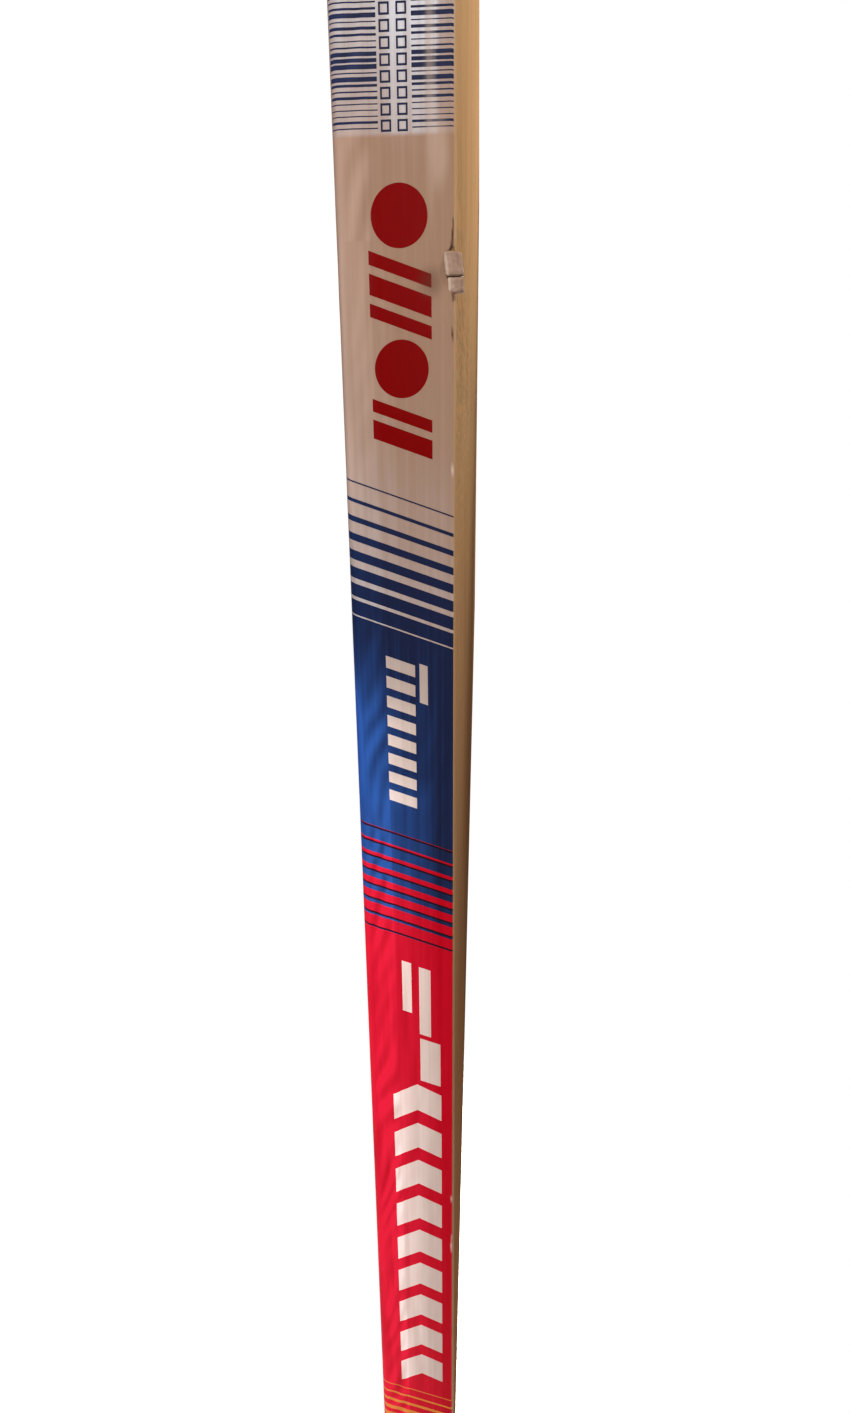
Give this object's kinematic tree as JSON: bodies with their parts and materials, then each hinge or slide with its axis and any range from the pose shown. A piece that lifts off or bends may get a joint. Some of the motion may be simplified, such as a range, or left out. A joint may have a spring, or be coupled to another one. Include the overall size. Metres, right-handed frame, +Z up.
{
  "type": "drywall sheet pair",
  "caption": "Full-size gypsum drywall sheets with tapered long edges, laid face to face and held by printed end tape that wraps the cut ends.",
  "frame": {"origin": "centre of the footprint, on the floor under the lower end tapes", "axes": "+X along the 8 ft length with the marked front end at -X, +Y across the 4 ft width, +Z up through the thickness"},
  "size_m": [2.4388, 1.2192, 0.0347],
  "materials": {
    "back_paper": "recycled brown back paper and ivory face paper, bonded to a gypsum core",
    "printed_film": "printed semi-gloss packing film, thin and slightly rippled"
  },
  "bodies": {
    "root": {"sheet_lower": "back_paper", "sheet_upper": "back_paper", "end_tape_front": "printed_film", "end_tape_rear": "printed_film", "crumpled_film": "printed_film"}
  },
  "joints": []
}
